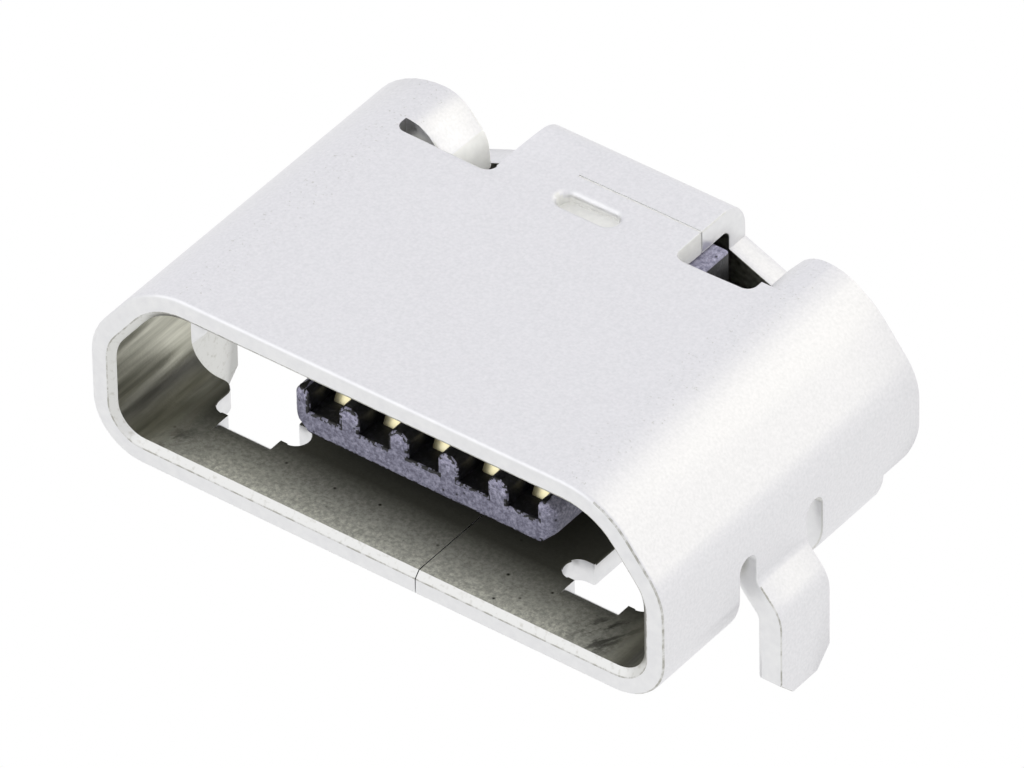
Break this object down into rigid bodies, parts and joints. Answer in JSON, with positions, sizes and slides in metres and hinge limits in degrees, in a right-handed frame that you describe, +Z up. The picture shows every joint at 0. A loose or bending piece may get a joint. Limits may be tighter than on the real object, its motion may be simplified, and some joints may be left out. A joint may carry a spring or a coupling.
{
  "type": "usb connector",
  "caption": "Board-mounted socket for a micro plug: a folded plated shell with through-hole legs, latch windows and a rear cover around a dark tongue with gold contacts.",
  "frame": {"origin": "midway between the two legs, on the face of the board that the bottom wall sits on", "axes": "+X across the mouth to the right as seen by the plug, +Y from the mouth back into the socket, +Z up from the board"},
  "size_m": [0.0082, 0.0053, 0.0033],
  "materials": {
    "shell": "satin plated sheet, pale silver",
    "housing": "matt glass-filled moulding, near black with a violet cast and pale speckles",
    "contacts": "smooth gold plating"
  },
  "bodies": {
    "root": {"shell": "shell", "housing": "housing", "contact_1": "contacts", "contact_2": "contacts", "contact_3": "contacts", "contact_4": "contacts", "contact_5": "contacts"}
  },
  "joints": []
}
